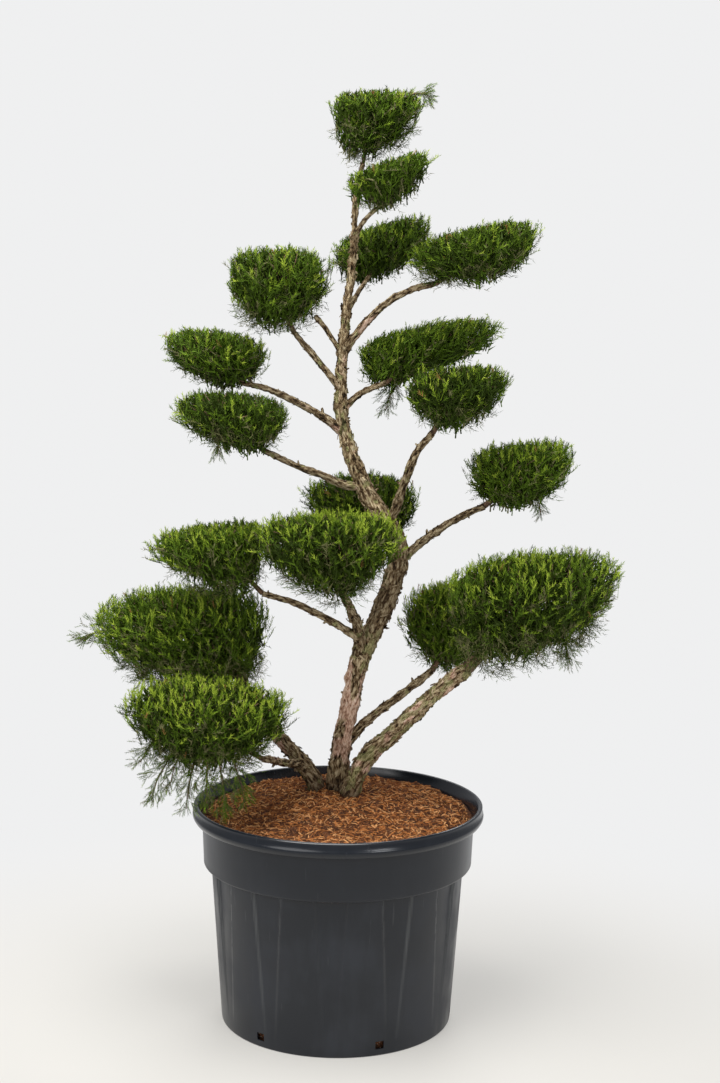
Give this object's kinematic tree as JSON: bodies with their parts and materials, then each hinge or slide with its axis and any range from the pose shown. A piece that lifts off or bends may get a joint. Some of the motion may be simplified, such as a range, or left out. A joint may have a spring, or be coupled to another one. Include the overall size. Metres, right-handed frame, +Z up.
{
  "type": "cloud-pruned juniper in a nursery pot",
  "caption": "Evergreen shrub trained as a cloud tree, with bare winding limbs and clipped foliage pads, growing in a round plastic nursery pot filled with bark.",
  "frame": {"origin": "centre of the pot's flat underside, on the floor", "axes": "+Z up; +X to the right of the plant's face; +Y from its face to its back"},
  "size_m": [1.2069, 0.7227, 2.0381],
  "materials": {
    "pot_plastic": "moulded black plastic, slightly glossy",
    "bark_mulch": "loose red-brown bark and fibre",
    "limb_bark": "grey-brown flaking bark",
    "juniper_foliage": "fine green needles in clipped sprays"
  },
  "bodies": {
    "root": {"pot": "pot_plastic", "bark_fill": "bark_mulch", "trunk": "limb_bark", "stem_right": "limb_bark", "stem_left": "limb_bark", "bough_02": "limb_bark", "bough_03": "limb_bark", "bough_04": "limb_bark", "bough_05": "limb_bark", "bough_05_upper": "limb_bark", "bough_06": "limb_bark", "bough_07": "limb_bark", "bough_08": "limb_bark", "bough_09": "limb_bark", "bough_10": "limb_bark", "bough_11": "limb_bark", "bough_12": "limb_bark", "bough_13": "limb_bark", "bough_15": "limb_bark", "bough_17": "limb_bark", "foliage_01": "juniper_foliage", "foliage_02": "juniper_foliage", "foliage_03": "juniper_foliage", "foliage_04": "juniper_foliage", "foliage_05": "juniper_foliage", "foliage_06": "juniper_foliage", "foliage_07": "juniper_foliage", "foliage_08": "juniper_foliage", "foliage_09": "juniper_foliage", "foliage_10": "juniper_foliage", "foliage_11": "juniper_foliage", "foliage_12": "juniper_foliage", "foliage_13": "juniper_foliage", "foliage_14": "juniper_foliage", "foliage_15": "juniper_foliage", "foliage_16": "juniper_foliage", "foliage_17": "juniper_foliage"}
  },
  "joints": []
}
